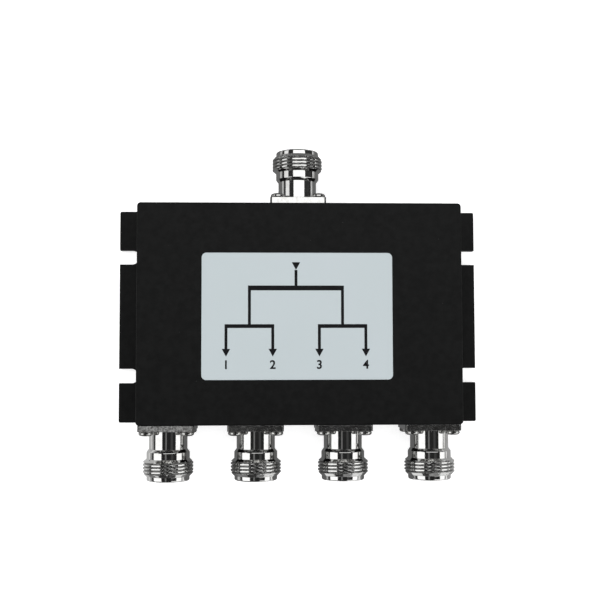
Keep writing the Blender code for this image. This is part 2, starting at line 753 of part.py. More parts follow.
def make_trace(finish):
    """The input line, the first divider, its two branches and a divider on each of them."""
    edge = BOARD_LENGTH_Y / 2.0 - TRACE_EDGE_MARGIN
    strips = [upright_strip(INPUT_OFFSET_X, FIRST_DIVIDER_Y, edge - LINE_WIDTH / 2.0, LINE_WIDTH)]
    strips += divider_strips(0.0, FIRST_DIVIDER_Y)
    strips += branch_strips(0.0, FIRST_DIVIDER_Y, OUTPUT_SPACING, SECOND_DIVIDER_Y)
    for side in (-1, 1):
        centre = side * OUTPUT_SPACING
        strips += divider_strips(centre, SECOND_DIVIDER_Y)
        strips += branch_strips(centre, SECOND_DIVIDER_Y, OUTPUT_SPACING / 2.0, -edge)
    sheet = strips_mesh("trace", strips, TRACE_BACK_Z, TRACE_BACK_Z + TRACE_THICKNESS)
    piece("trace", sheet, finish)


def make_resistors(finish):
    """One chip across the inner ends of the arms in every section."""
    top = TRACE_BACK_Z - FOIL_GAP
    half_x = RESISTOR_LENGTH / 2.0
    half_y = RESISTOR_WIDTH / 2.0
    corners = [(half_x, half_y), (-half_x, half_y), (-half_x, -half_y), (half_x, -half_y)]
    chip = prism_mesh("isolation_resistor", corners, top - RESISTOR_HEIGHT, top)
    dividers = [(0.0, FIRST_DIVIDER_Y)]
    dividers += [(side * OUTPUT_SPACING, SECOND_DIVIDER_Y) for side in (-1, 1)]
    places = [
        (x, start - section * SECTION_PITCH - ARM_DROP)
        for x, start in dividers for section in range(SECTION_COUNT)
    ]
    for index, (x, y) in enumerate(places):
        piece(f"isolation_resistor_{index + 1}", chip, finish, Matrix.Translation((x, y, 0.0)))


# Label


def make_label(finish):
    outline = rounded_outline(
        LABEL_SIZE_X / 2.0, LABEL_SIZE_Y / 2.0, LABEL_CORNER_RADIUS, LABEL_OFFSET_X, LABEL_OFFSET_Y,
    )
    low = HOUSING_DEPTH + FOIL_GAP
    piece("label", prism_mesh("label", outline, low, low + LABEL_THICKNESS), finish)


def main():
    clear_scene()
    black_paint = material("black_paint", (0.012, 0.012, 0.013), 0.45, 0.0)
    nickel = material("nickel_plate", (0.66, 0.64, 0.60), 0.22, 1.0)
    steel = material("screw_steel", (0.55, 0.54, 0.52), 0.30, 1.0)
    ptfe = material("white_insulator", (0.85, 0.85, 0.83), 0.45, 0.0)
    gold = material("gold_plate", (0.83, 0.62, 0.26), 0.25, 1.0)
    laminate = material("board_laminate", (0.30, 0.33, 0.20), 0.55, 0.0)
    copper = material("tinned_copper", (0.72, 0.45, 0.30), 0.35, 1.0)
    ceramic = material("resistor_ceramic", (0.02, 0.02, 0.02), 0.50, 0.0)
    film = material("label_film", (0.56, 0.63, 0.65), 0.40, 0.0)
    make_housing(black_paint)
    make_back_cover(black_paint)
    make_cover_screws(steel)
    make_connectors(nickel, ptfe, gold)
    make_flange_screws(steel)
    make_circuit_board(laminate)
    make_trace(copper)
    make_resistors(ceramic)
    make_board_screws(steel)
    make_label(film)


main()
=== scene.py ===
"""Looks of the RF power splitter: finishes, turned connectors with cut threads, printed label, studio."""
import math

import bmesh
import bpy
from mathutils import Matrix, Vector


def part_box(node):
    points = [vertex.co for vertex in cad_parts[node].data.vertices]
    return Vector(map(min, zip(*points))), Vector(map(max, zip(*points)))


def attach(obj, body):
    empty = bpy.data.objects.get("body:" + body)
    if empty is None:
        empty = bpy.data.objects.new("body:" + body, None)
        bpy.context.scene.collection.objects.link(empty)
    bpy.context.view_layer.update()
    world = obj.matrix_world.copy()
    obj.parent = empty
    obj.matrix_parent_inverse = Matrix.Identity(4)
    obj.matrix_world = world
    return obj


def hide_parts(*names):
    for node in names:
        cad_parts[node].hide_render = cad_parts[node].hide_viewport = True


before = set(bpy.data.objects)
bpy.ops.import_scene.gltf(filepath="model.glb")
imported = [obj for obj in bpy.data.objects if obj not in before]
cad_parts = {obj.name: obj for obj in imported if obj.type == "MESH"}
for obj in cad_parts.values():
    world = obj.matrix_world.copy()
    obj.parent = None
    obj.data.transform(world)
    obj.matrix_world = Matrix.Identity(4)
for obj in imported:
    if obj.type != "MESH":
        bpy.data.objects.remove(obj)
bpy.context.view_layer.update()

# TINY keeps touching faces apart, and CUT is how far a cutter reaches past a surface
MM = 0.001
TINY = 0.02 * MM
CUT = 1.0 * MM

# Places and sizes read from the frame
HOUSING_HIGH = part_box("housing")[1]
COVER_LOW, COVER_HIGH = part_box("back_cover")
LABEL_LOW, LABEL_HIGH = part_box("label")
SHELL_LOW, SHELL_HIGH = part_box("input_connector_shell")
EAR_HALF_X = HOUSING_HIGH.x
HALF_Y = HOUSING_HIGH.y
DEPTH = HOUSING_HIGH.z
BOARD_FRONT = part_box("circuit_board")[1].z

# Names of the ports and numbers of the screws and resistors in the frame
PORT_NAMES = ["input", "output_1", "output_2", "output_3", "output_4"]
COVER_SCREWS = range(1, 9)
PILLAR_SCREWS = range(5, 9)
BOARD_SCREWS = range(1, 5)
RESISTORS = range(1, 7)

# Housing
BODY_HALF_X = EAR_HALF_X - 7.6 * MM
BODY_CORNER = 1.1 * MM
FRONT_ROUND = 0.4 * MM
BACK_ROUND = 0.15 * MM
EAR_ROOT = 0.2 * MM
EAR_HALF_Y = 34.3 * MM
EAR_OFFSET_Y = -0.3 * MM
EAR_DEPTH = 3.0 * MM
EAR_CORNER = 0.5 * MM
EAR_EDGE_ROUND = 0.2 * MM
SLOT_HALF = 4.65 * MM / 2.0
SLOT_DEPTH = 6.3 * MM
SLOT_HALF_SPACING = 19.3 * MM
CAVITY_HALF_X = 43.5 * MM
CAVITY_HALF_Y = 30.5 * MM
CAVITY_CORNER = 3.0 * MM
FRONT_WALL = 3.0 * MM
COVER_GAP = 0.3 * MM
COVER_EDGE_ROUND = 0.15 * MM
COVER_CORNER = 2.7 * MM
PILLAR_RADIUS = 2.8 * MM
BOSS_RADIUS = 3.0 * MM

# Connectors, with stations measured outward from the housing's wall
FLANGE_HALF = (SHELL_HIGH.x - SHELL_LOW.x) / 2.0
FLANGE_FRONT = 2.0 * MM
FLANGE_CORNER = 0.7 * MM
FLANGE_EDGE_ROUND = 0.12 * MM
# How far a flange face turns sideways before it takes the corners' painted shade
FLANGE_CORNER_TILT = 0.15
SCREW_SPACING = 12.7 * MM
NECK_RADIUS = 6.05 * MM
NECK_END = 7.85 * MM
COLLAR_RADIUS = 6.8 * MM
COLLAR_START = 8.72 * MM
COLLAR_END = 10.8 * MM
THREAD_RADIUS = 7.94 * MM
THREAD_DEPTH = 0.62 * MM
THREAD_PITCH = 1.058 * MM
THREAD_ROOT_SHARE = 0.02
THREAD_CREST_SHARE = 0.36
# How far below the crest a face lies before it takes the grooves' painted shade
GROOVE_LIP = 0.26 * MM
THREAD_START = 11.8 * MM
THREAD_END = 15.15 * MM
THREAD_END_SLOPE = 0.9
RIM_RADIUS = 6.75 * MM
RIM_START = 16.174 * MM
RIM_ROUND = 0.5 * MM
SHELL_TIP = SHELL_HIGH.y - HALF_Y
MOUTH_RADIUS = 4.05 * MM
MOUTH_DEPTH = 9.0 * MM
MOUTH_CHAMFER = 0.4 * MM
BORE_RADIUS = 3.5 * MM
EDGE_BREAK = 0.08 * MM
SPIGOT_RADIUS = 2.05 * MM
PORT_WALL = 4.0 * MM
CONTACT_RADIUS = 1.52 * MM
CONTACT_BORE = 0.835 * MM
CONTACT_BORE_DEPTH = 7.0 * MM
CONTACT_TIP_DEPTH = 4.9 * MM
CONTACT_SHOULDER = 2.5 * MM
TAIL_RADIUS = 0.6 * MM
TAIL_END = -7.5 * MM
SLIT_REACH = 4.0 * CONTACT_RADIUS
SLIT_WIDTH = 0.35 * MM
SLIT_DEPTH = 4.5 * MM
SLIT_TURN = 0.5

# Quarter turns of each shell, which set where its thread starts
QUARTER_TURNS = {"input": 1, "output_1": -2, "output_2": -1, "output_3": -1, "output_4": -1}

# Screws
PAN_RADIUS = 2.2 * MM
PAN_HEIGHT = 1.45 * MM
PAN_CHAMFER = 0.32 * MM
PAN_BASE_INSET = 0.8 * PAN_CHAMFER
PAN_WALL = 0.66 * MM
PAN_SHOULDER = 1.15 * MM
PAN_CROWN_DROP = 0.12 * MM
PAN_CROWN_SLOPE = math.radians(12.0)
PAN_STEPS = 7
PAN_SHANK = 1.25 * MM
FLANGE_SHANK_END = -2.5 * MM
RECESS_REACH = 1.2 * MM
RECESS_WIDTH = 0.6 * MM
RECESS_DEPTH = 0.85 * MM
COVER_HEAD = 1.9 * MM
COVER_HEAD_HEIGHT = 1.1 * MM
COVER_SHANK = 1.0 * MM
COVER_SHANK_END = 6.0 * MM
COVER_HEAD_ROOM = 4.0 * TINY
SHANK_POINT = 3.0 * EDGE_BREAK

# Angles at which the screws stop, in radians
FIRST_COVER_TURN = 0.4
COVER_SCREW_TURN = 1.3
PORT_TURN = 0.7
FLANGE_SCREW_TURN = 1.9

# Label and the marks printed on it
LABEL_CORNER = 1.5 * MM
LABEL_EDGE_ROUND = 0.06 * MM
PRINT_ROOM = 2.0 * TINY
INK_THICKNESS = 0.02 * MM
PRINT_CENTRE_X = -1.3 * MM
OUTPUT_MARK_STEPS = (-1.5, -0.5, 0.5, 1.5)
OUTPUT_MARK_SPACING = 14.4 * MM
INPUT_MARK_Y = 14.6 * MM
NUMERAL_Y = -16.0 * MM
NUMERAL_HEIGHT = 2.6 * MM
NUMERAL_WEIGHT = 0.09 * MM
NUMERAL_SHARE_OF_FONT = 0.70
NUMERAL_SEAM = 0.0001 * MM
FIRST_BRANCH_Y = 7.8 * MM
SECOND_BRANCH_Y = -4.0 * MM
BRANCH_WIDTH = 1.5 * MM
STEM_WIDTH = 0.9 * MM
SECOND_BRANCH_WIDTH = STEM_WIDTH * 1.3
ARROW_WIDTH = 2.6 * MM
ARROW_HEIGHT = 2.4 * MM
ARROW_TIP_Y = -13.4 * MM

# Facets
TURNED_SEGMENTS = 120
SMALL_SEGMENTS = 48
CORNER_STEPS = 8
THREAD_ROWS_PER_PITCH = 16
RIM_STEPS = 6
EDGE_STEPS = 4
GRID_DIGITS = 7
SMOOTH_ANGLE = math.radians(32.0)


# Meshes


def closed_mesh(name, verts, faces):
    """A mesh whose faces all point outward."""
    mesh = bpy.data.meshes.new(name)
    mesh.from_pydata(verts, [], faces)
    work = bmesh.new()
    work.from_mesh(mesh)
    bmesh.ops.recalc_face_normals(work, faces=work.faces)
    work.to_mesh(mesh)
    work.free()
    return mesh


def rounded_outline(half_x, half_y, radius, centre_x=0.0, centre_y=0.0):
    """Points round a rectangle with round corners, counter-clockwise."""
    points = []
    for quarter, (side_x, side_y) in enumerate(((1, 1), (-1, 1), (-1, -1), (1, -1))):
        corner_x = centre_x + side_x * (half_x - radius)
        corner_y = centre_y + side_y * (half_y - radius)
        for step in range(CORNER_STEPS + 1):
            angle = math.pi / 2.0 * (quarter + step / CORNER_STEPS)
            points.append((corner_x + radius * math.cos(angle), corner_y + radius * math.sin(angle)))
    return points


def loft_mesh(name, levels):
    """A solid through outlines of equal count, given as (outline, z) from one end to the other."""
    count = len(levels[0][0])
    verts = [(x, y, z) for outline, z in levels for x, y in outline]
    last = (len(levels) - 1) * count
    faces = [tuple(range(count)), tuple(range(last, last + count))]
    for level in range(len(levels) - 1):
        low = level * count
        for index in range(count):
            following = (index + 1) % count
            faces.append((low + index, low + following, low + count + following, low + count + index))
    return closed_mesh(name, verts, faces)


def edge_levels(z_low, z_high, low_round, high_round):
    """(inset, z) pairs up a wall whose two edges are rounded."""
    angles = [math.pi / 2.0 * step / EDGE_STEPS for step in range(EDGE_STEPS + 1)]
    levels = []
    for angle in angles:
        inset = low_round * (1.0 - math.sin(angle))
        levels.append((inset, z_low + low_round * (1.0 - math.cos(angle))))
    for angle in angles:
        inset = high_round * (1.0 - math.cos(angle))
        levels.append((inset, z_high - high_round * (1.0 - math.sin(angle))))
    return levels


def plate_mesh(name, half_x, half_y, corner, centre, z_low, z_high, low_round, high_round):
    """A plate with round corners and rounded edges."""
    levels = []
    for inset, z in edge_levels(z_low, z_high, low_round, high_round):
        outline = rounded_outline(half_x - inset, half_y - inset, corner - inset, *centre)
        levels.append((outline, z))
    return loft_mesh(name, levels)


def turned_mesh(name, profile, segments):
    """A turned solid about Z from a profile of (radius, z), which is a ring if it stays off the axis.

    A radius may also be a function of the angle.
    """
    verts = []
    rings = []
    for radius, z in profile:
        start = len(verts)
        if radius == 0.0:
            verts.append((0.0, 0.0, z))
            rings.append([start] * segments)
            continue
        for step in range(segments):
            angle = 2.0 * math.pi * step / segments
            here = radius(angle) if callable(radius) else radius
            verts.append((here * math.cos(angle), here * math.sin(angle), z))
        rings.append(list(range(start, start + segments)))
    pairs = list(zip(rings, rings[1:]))
    if len(set(rings[0])) > 1:
        pairs.append((rings[-1], rings[0]))
    faces = []
    for near, far in pairs:
        for step in range(segments):
            following = (step + 1) % segments
            corners = [near[step], near[following], far[following], far[step]]
            faces.append(tuple(dict.fromkeys(corners)))
    return closed_mesh(name, verts, faces)


def cylinder_mesh(name, radius, z_low, z_high, segments=SMALL_SEGMENTS):
    """A plain upright cylinder on the Z axis."""
    profile = [(0.0, z_low), (radius, z_low), (radius, z_high), (0.0, z_high)]
    return turned_mesh(name, profile, segments)


def cross_mesh(name, reach, width, z_low, z_high):
    """A solid in the shape of a plus sign, for recesses and slits."""
    half = width / 2.0
    quarter = [(reach, -half), (reach, half), (half, half)]
    points = []
    for turn in range(4):
        angle = math.pi / 2.0 * turn
        cos, sin = round(math.cos(angle)), round(math.sin(angle))
        points += [(cos * x - sin * y, sin * x + cos * y) for x, y in quarter]
    return loft_mesh(name, [(points, z_low), (points, z_high)])


def joined_mesh(name, parts):
    """One mesh out of (mesh, matrix) pairs."""
    work = bmesh.new()
    for mesh, matrix in parts:
        placed = mesh.copy()
        placed.transform(matrix)
        work.from_mesh(placed)
        bpy.data.meshes.remove(placed)
    joined = bpy.data.meshes.new(name)
    work.to_mesh(joined)
    work.free()
    return joined


def combined_mesh(base, tool, operation):
    """The base mesh after a Boolean with the tool mesh."""
    base_object = bpy.data.objects.new("boolean_base", base)
    tool_object = bpy.data.objects.new("boolean_tool", tool)
    for obj in (base_object, tool_object):
        bpy.context.scene.collection.objects.link(obj)
    modifier = base_object.modifiers.new("combine", "BOOLEAN")
    modifier.operation = operation
    modifier.solver = "EXACT"
    modifier.object = tool_object
    depsgraph = bpy.context.evaluated_depsgraph_get()
    result = bpy.data.meshes.new_from_object(base_object.evaluated_get(depsgraph))
    for obj in (base_object, tool_object):
        bpy.data.objects.remove(obj, do_unlink=True)
    result.name = base.name
    return result


def cut(base, *tools):
    """The base mesh with each tool taken away from it in turn."""
    for tool in tools:
        base = combined_mesh(base, tool, "DIFFERENCE")
    return base


def moved(x, y, z=0.0):
    return Matrix.Translation((x, y, z))


# Materials

NOISE_SPAN = (0.3, 0.7)


class Finish:
    """A material with a Principled shader and short ways to add nodes to it."""

    def __init__(self, name, colour, roughness, metallic=0.0, specular=0.5):
        self.material = bpy.data.materials.new(name)
        self.material.use_nodes = True
        tree = self.material.node_tree
        self.nodes = tree.nodes
        self.links = tree.links
        self.shader = self.nodes["Principled BSDF"]
        self.colour = colour
        self.shader.inputs["Base Color"].default_value = (*colour, 1.0)
        self.shader.inputs["Roughness"].default_value = roughness
        self.shader.inputs["Metallic"].default_value = metallic
        self.shader.inputs["Specular IOR Level"].default_value = specular
        self.place = self.nodes.new("ShaderNodeTexCoord").outputs["Object"]
        self.height = None

    def noise(self, scale, detail=3.0, stretch=(1.0, 1.0, 1.0)):
        """Soft noise over the piece's own coordinates, finer with a larger scale."""
        mapping = self.nodes.new("ShaderNodeMapping")
        mapping.inputs["Scale"].default_value = stretch
        self.links.new(self.place, mapping.inputs["Vector"])
        texture = self.nodes.new("ShaderNodeTexNoise")
        texture.inputs["Scale"].default_value = scale
        texture.inputs["Detail"].default_value = detail
        self.links.new(mapping.outputs["Vector"], texture.inputs["Vector"])
        return texture.outputs["Fac"]

    def spread(self, value, low, high, to_low=0.0, to_high=1.0):
        """Stretches the part of a value between low and high over another range."""
        ramp = self.nodes.new("ShaderNodeMapRange")
        ends = {"From Min": low, "From Max": high, "To Min": to_low, "To Max": to_high}
        for socket, number in ends.items():
            ramp.inputs[socket].default_value = number
        self.links.new(value, ramp.inputs["Value"])
        return ramp.outputs["Result"]

    def tint(self, factor, colour):
        """Mixes the colour so far towards another one."""
        mix = self.nodes.new("ShaderNodeMix")
        mix.data_type = "RGBA"
        socket = self.shader.inputs["Base Color"]
        if socket.is_linked:
            self.links.new(socket.links[0].from_socket, mix.inputs["A"])
        else:
            mix.inputs["A"].default_value = (*self.colour, 1.0)
        mix.inputs["B"].default_value = (*colour, 1.0)
        self.links.new(factor, mix.inputs["Factor"])
        self.links.new(mix.outputs["Result"], socket)

    def roughen(self, value, low, high):
        """Lets the roughness wander between low and high."""
        roughness = self.spread(value, *NOISE_SPAN, low, high)
        self.links.new(roughness, self.shader.inputs["Roughness"])

    def bump(self, value, strength, distance):
        """Adds fine relief on top of any that is there already."""
        node = self.nodes.new("ShaderNodeBump")
        node.inputs["Strength"].default_value = strength
        node.inputs["Distance"].default_value = distance
        self.links.new(value, node.inputs["Height"])
        if self.height is not None:
            self.links.new(self.height, node.inputs["Normal"])
        self.height = node.outputs["Normal"]
        self.links.new(self.height, self.shader.inputs["Normal"])

    def specks(self, scale, size, colour):
        """Sparse small dots of another colour."""
        texture = self.nodes.new("ShaderNodeTexVoronoi")
        texture.inputs["Scale"].default_value = scale
        self.links.new(self.place, texture.inputs["Vector"])
        dot = self.spread(texture.outputs["Distance"], size / 2.0, size, 1.0, 0.0)
        self.tint(dot, colour)


def powder_coat():
    """Black coat with fine grain and a few pale specks."""
    finish = Finish("powder_coat", (0.0026, 0.0028, 0.0028), 0.48, specular=0.12)
    finish.tint(finish.spread(finish.noise(520.0), 0.34, 0.66), (0.0048, 0.0050, 0.0050))
    finish.specks(190.0, 0.024, (0.045, 0.045, 0.045))
    finish.roughen(finish.noise(900.0), 0.43, 0.53)
    finish.bump(finish.noise(1700.0, 2.0), 0.5, 0.04 * MM)
    return finish.material


def bright_nickel():
    """Polished plating with faint turning marks."""
    finish = Finish("bright_nickel", (0.70, 0.70, 0.69), 0.08, 1.0)
    finish.tint(finish.spread(finish.noise(420.0), 0.45, 0.75), (0.62, 0.615, 0.60))
    finish.roughen(finish.noise(900.0), 0.05, 0.10)
    finish.bump(finish.noise(1.0, 2.0, (60.0, 60.0, 9000.0)), 0.12, 0.004 * MM)
    return finish.material


def painted_shade_groove_nickel():
    """Rougher plating down in the thread's grooves, with painted shade: a darker colour than the crests',
    for the shade that falls in the grooves.
    """
    finish = Finish("painted_shade_groove_nickel", (0.48, 0.48, 0.475), 0.20, 1.0)
    finish.tint(finish.spread(finish.noise(1200.0), 0.40, 0.70), (0.36, 0.36, 0.355))
    finish.roughen(finish.noise(900.0), 0.18, 0.30)
    finish.bump(finish.noise(2600.0, 2.0), 0.2, 0.006 * MM)
    return finish.material


def flange_nickel():
    """Polished plating of the flat flanges."""
    finish = Finish("flange_nickel", (0.68, 0.68, 0.67), 0.12, 1.0)
    finish.tint(finish.spread(finish.noise(900.0), 0.4, 0.7), (0.54, 0.535, 0.52))
    finish.roughen(finish.noise(700.0), 0.09, 0.18)
    finish.bump(finish.noise(2600.0, 3.0), 0.25, 0.006 * MM)
    return finish.material


def grained_nickel():
    """The coarser plating on the flange of the first output."""
    finish = Finish("grained_nickel", (0.62, 0.62, 0.61), 0.34, 1.0)
    finish.tint(finish.spread(finish.noise(1500.0), 0.40, 0.62), (0.22, 0.22, 0.215))
    finish.roughen(finish.noise(900.0), 0.26, 0.42)
    finish.bump(finish.noise(2200.0, 3.0), 0.8, 0.05 * MM)
    return finish.material


def painted_shade_corner_nickel():
    """Painted shade: dark nickel on the flange's corners, which stands in for the dark reflections along
    the flange's ends.
    """
    finish = Finish("painted_shade_corner_nickel", (0.13, 0.13, 0.125), 0.24, 1.0)
    finish.tint(finish.spread(finish.noise(1400.0), 0.4, 0.7), (0.08, 0.08, 0.078))
    finish.roughen(finish.noise(1100.0), 0.20, 0.32)
    return finish.material


def screw_steel():
    """Polished screws that darken where they are seen at a slant."""
    finish = Finish("screw_steel", (0.50, 0.50, 0.49), 0.06, 1.0)
    finish.shader.inputs["Specular Tint"].default_value = (0.4, 0.4, 0.4, 1.0)
    finish.tint(finish.spread(finish.noise(800.0), 0.4, 0.75), (0.40, 0.395, 0.38))
    finish.roughen(finish.noise(1500.0), 0.05, 0.12)
    finish.bump(finish.noise(2200.0), 0.15, 0.01 * MM)
    return finish.material


def waxy_insulator():
    finish = Finish("waxy_insulator", (0.83, 0.83, 0.80), 0.42)
    finish.tint(finish.spread(finish.noise(500.0), 0.4, 0.8), (0.76, 0.76, 0.72))
    finish.roughen(finish.noise(900.0), 0.36, 0.5)
    finish.bump(finish.noise(1.0, 2.0, (100.0, 100.0, 8000.0)), 0.1, 0.01 * MM)
    return finish.material


def gold_plate():
    finish = Finish("gold_plate", (0.86, 0.62, 0.27), 0.2, 1.0)
    finish.tint(finish.spread(finish.noise(700.0), 0.4, 0.8), (0.74, 0.50, 0.20))
    finish.roughen(finish.noise(1200.0), 0.15, 0.28)
    finish.bump(finish.noise(1.0, 2.0, (80.0, 80.0, 9000.0)), 0.1, 0.004 * MM)
    return finish.material


def label_film():
    finish = Finish("label_film", (0.522, 0.586, 0.606), 0.42, specular=0.35)
    finish.tint(finish.spread(finish.noise(35.0), 0.35, 0.75), (0.536, 0.596, 0.622))
    finish.roughen(finish.noise(300.0), 0.38, 0.48)
    finish.bump(finish.noise(2400.0), 0.08, 0.01 * MM)
    return finish.material


def black_ink():
    finish = Finish("black_ink", (0.004, 0.004, 0.005), 0.5, specular=0.12)
    finish.tint(finish.spread(finish.noise(1800.0), 0.55, 0.9), (0.012, 0.012, 0.013))
    finish.roughen(finish.noise(1200.0), 0.42, 0.6)
    return finish.material


def board_laminate():
    finish = Finish("board_laminate", (0.28, 0.31, 0.19), 0.5)
    weave = finish.noise(1.0, 2.0, (1500.0, 9000.0, 1500.0))
    finish.tint(finish.spread(weave, 0.35, 0.7), (0.36, 0.38, 0.25))
    finish.roughen(finish.noise(900.0), 0.42, 0.6)
    return finish.material


def bare_copper():
    finish = Finish("bare_copper", (0.78, 0.42, 0.27), 0.3, 1.0)
    finish.tint(finish.spread(finish.noise(350.0), 0.4, 0.8), (0.55, 0.27, 0.16))
    finish.roughen(finish.noise(900.0), 0.22, 0.42)
    return finish.material


def chip_ceramic():
    finish = Finish("chip_ceramic", (0.02, 0.02, 0.022), 0.4)
    finish.tint(finish.spread(finish.noise(2500.0), 0.5, 0.9), (0.06, 0.06, 0.06))
    finish.roughen(finish.noise(2000.0), 0.3, 0.5)
    return finish.material


# Pieces


def piece(name, mesh, materials, replaced=None, matrix=None):
    """A named piece that rides on the part's one body, in its place and finish."""
    if not mesh.materials:
        for material in materials:
            mesh.materials.append(material)
    mesh.shade_smooth()
    mesh.set_sharp_from_angle(angle=SMOOTH_ANGLE)
    obj = bpy.data.objects.new(name, mesh)
    obj.matrix_world = matrix or Matrix.Identity(4)
    bpy.context.scene.collection.objects.link(obj)
    shading = obj.modifiers.new("flat_faces_stay_flat", "WEIGHTED_NORMAL")
    shading.keep_sharp = True
    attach(obj, "root")
    if replaced:
        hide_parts(replaced)
    return obj


def port_matrix(name):
    """Turns local +Z to point out of the wall at a port, with the wall's face at z = 0."""
    low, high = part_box(f"{name}_connector_shell")
    side = 1 if high.y > 0.0 else -1
    centre = ((low.x + high.x) / 2.0, side * HALF_Y, (low.z + high.z) / 2.0)
    return Matrix.Translation(centre) @ Matrix.Rotation(-side * math.pi / 2.0, 4, "X")


def node_centre(name):
    """Where a node's box is centred in X and Y."""
    low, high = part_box(name)
    return (low.x + high.x) / 2.0, (low.y + high.y) / 2.0


def flange_screw_offsets():
    """The four screws' places from the port's axis."""
    half = SCREW_SPACING / 2.0
    return [(-half, -half), (half, -half), (half, half), (-half, half)]


def slot_mesh(side, centre_y):
    """A U slot that is open at the ear's outer edge and round at its inner end."""
    round_x = EAR_HALF_X - SLOT_DEPTH + SLOT_HALF
    points = [(side * (EAR_HALF_X + CUT), centre_y + SLOT_HALF)]
    for step in range(SMALL_SEGMENTS // 2 + 1):
        angle = math.pi / 2.0 + 2.0 * math.pi * step / SMALL_SEGMENTS
        x = round_x + SLOT_HALF * math.cos(angle)
        points.append((side * x, centre_y + SLOT_HALF * math.sin(angle)))
    points.append((side * (EAR_HALF_X + CUT), centre_y - SLOT_HALF))
    return loft_mesh("slot", [(points, -CUT), (points, EAR_DEPTH + CUT)])


def ear_mesh(side):
    """A plate on one side wall, round at its outer corners, with its root just inside the wall."""
    levels = []
    arc = CORNER_STEPS + 1
    for inset, z in edge_levels(0.0, EAR_DEPTH, BACK_ROUND, EAR_EDGE_ROUND):
        half_y = EAR_HALF_Y - inset
        across = rounded_outline(EAR_HALF_X - inset, half_y, EAR_CORNER - inset, 0.0, EAR_OFFSET_Y)
        root_x = BODY_HALF_X - EAR_ROOT
        root = [(root_x, EAR_OFFSET_Y + half_y), (root_x, EAR_OFFSET_Y - half_y)]
        outline = across[:arc] + root + across[-arc:]
        levels.append(([(side * x, y) for x, y in outline], z))
    return loft_mesh("ear", levels)


def cavity_mesh():
    """The room for the board, less the pillars and bosses that stand in it."""
    room = loft_mesh("cavity", [
        (rounded_outline(CAVITY_HALF_X, CAVITY_HALF_Y, CAVITY_CORNER), z)
        for z in (0.0, DEPTH - FRONT_WALL)
    ])
    posts = []
    for index in PILLAR_SCREWS:
        x, y = node_centre(f"cover_screw_{index}")
        posts.append((cylinder_mesh("pillar", PILLAR_RADIUS, -CUT, DEPTH), moved(x, y)))
    for index in BOARD_SCREWS:
        x, y = node_centre(f"board_screw_{index}")
        boss = cylinder_mesh("boss", BOSS_RADIUS, BOARD_FRONT + COVER_GAP, DEPTH)
        posts.append((boss, moved(x, y)))
    return cut(room, joined_mesh("posts", posts))


def housing_holes_mesh():
    """Every round hole in the housing: for the cover, the board, the ports and their flanges."""
    holes = []
    for index in COVER_SCREWS:
        x, y = node_centre(f"cover_screw_{index}")
        hole = cylinder_mesh("hole", COVER_SHANK + COVER_GAP, 0.0, COVER_SHANK_END + COVER_GAP)
        holes.append((hole, moved(x, y)))
    for index in BOARD_SCREWS:
        x, y = node_centre(f"board_screw_{index}")
        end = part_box(f"board_screw_{index}")[1].z + COVER_GAP
        holes.append((cylinder_mesh("hole", PAN_SHANK + COVER_GAP, BOARD_FRONT, end), moved(x, y)))
    for name in PORT_NAMES:
        place = port_matrix(name)
        holes.append((cylinder_mesh("hole", SPIGOT_RADIUS + COVER_GAP, -PORT_WALL - CUT, CUT), place))
        for x, y in flange_screw_offsets():
            hole = cylinder_mesh("hole", PAN_SHANK + COVER_GAP, FLANGE_SHANK_END - COVER_GAP, CUT)
            holes.append((hole, place @ moved(x, y)))
    return joined_mesh("holes", holes)


def make_housing(paint):
    """The block and its ears in one, hollow from the back, with slots and screw holes."""
    block = plate_mesh(
        "housing_casting", BODY_HALF_X, HALF_Y, BODY_CORNER, (0.0, 0.0),
        0.0, DEPTH, BACK_ROUND, FRONT_ROUND,
    )
    ears = joined_mesh("ears", [(ear_mesh(side), Matrix.Identity(4)) for side in (-1, 1)])
    slots = joined_mesh("slots", [
        (slot_mesh(side, EAR_OFFSET_Y + step * SLOT_HALF_SPACING), Matrix.Identity(4))
        for side in (-1, 1) for step in (-1, 1)
    ])
    rebate_outline = rounded_outline(
        COVER_HIGH.x + COVER_GAP, COVER_HIGH.y + COVER_GAP, COVER_CORNER + COVER_GAP,
    )
    rebate = loft_mesh("rebate", [(rebate_outline, z) for z in (-CUT, COVER_HIGH.z + COVER_GAP)])
    casting = combined_mesh(block, ears, "UNION")
    casting = cut(casting, cavity_mesh(), rebate, slots, housing_holes_mesh())
    piece("housing_casting", casting, [paint], "housing")


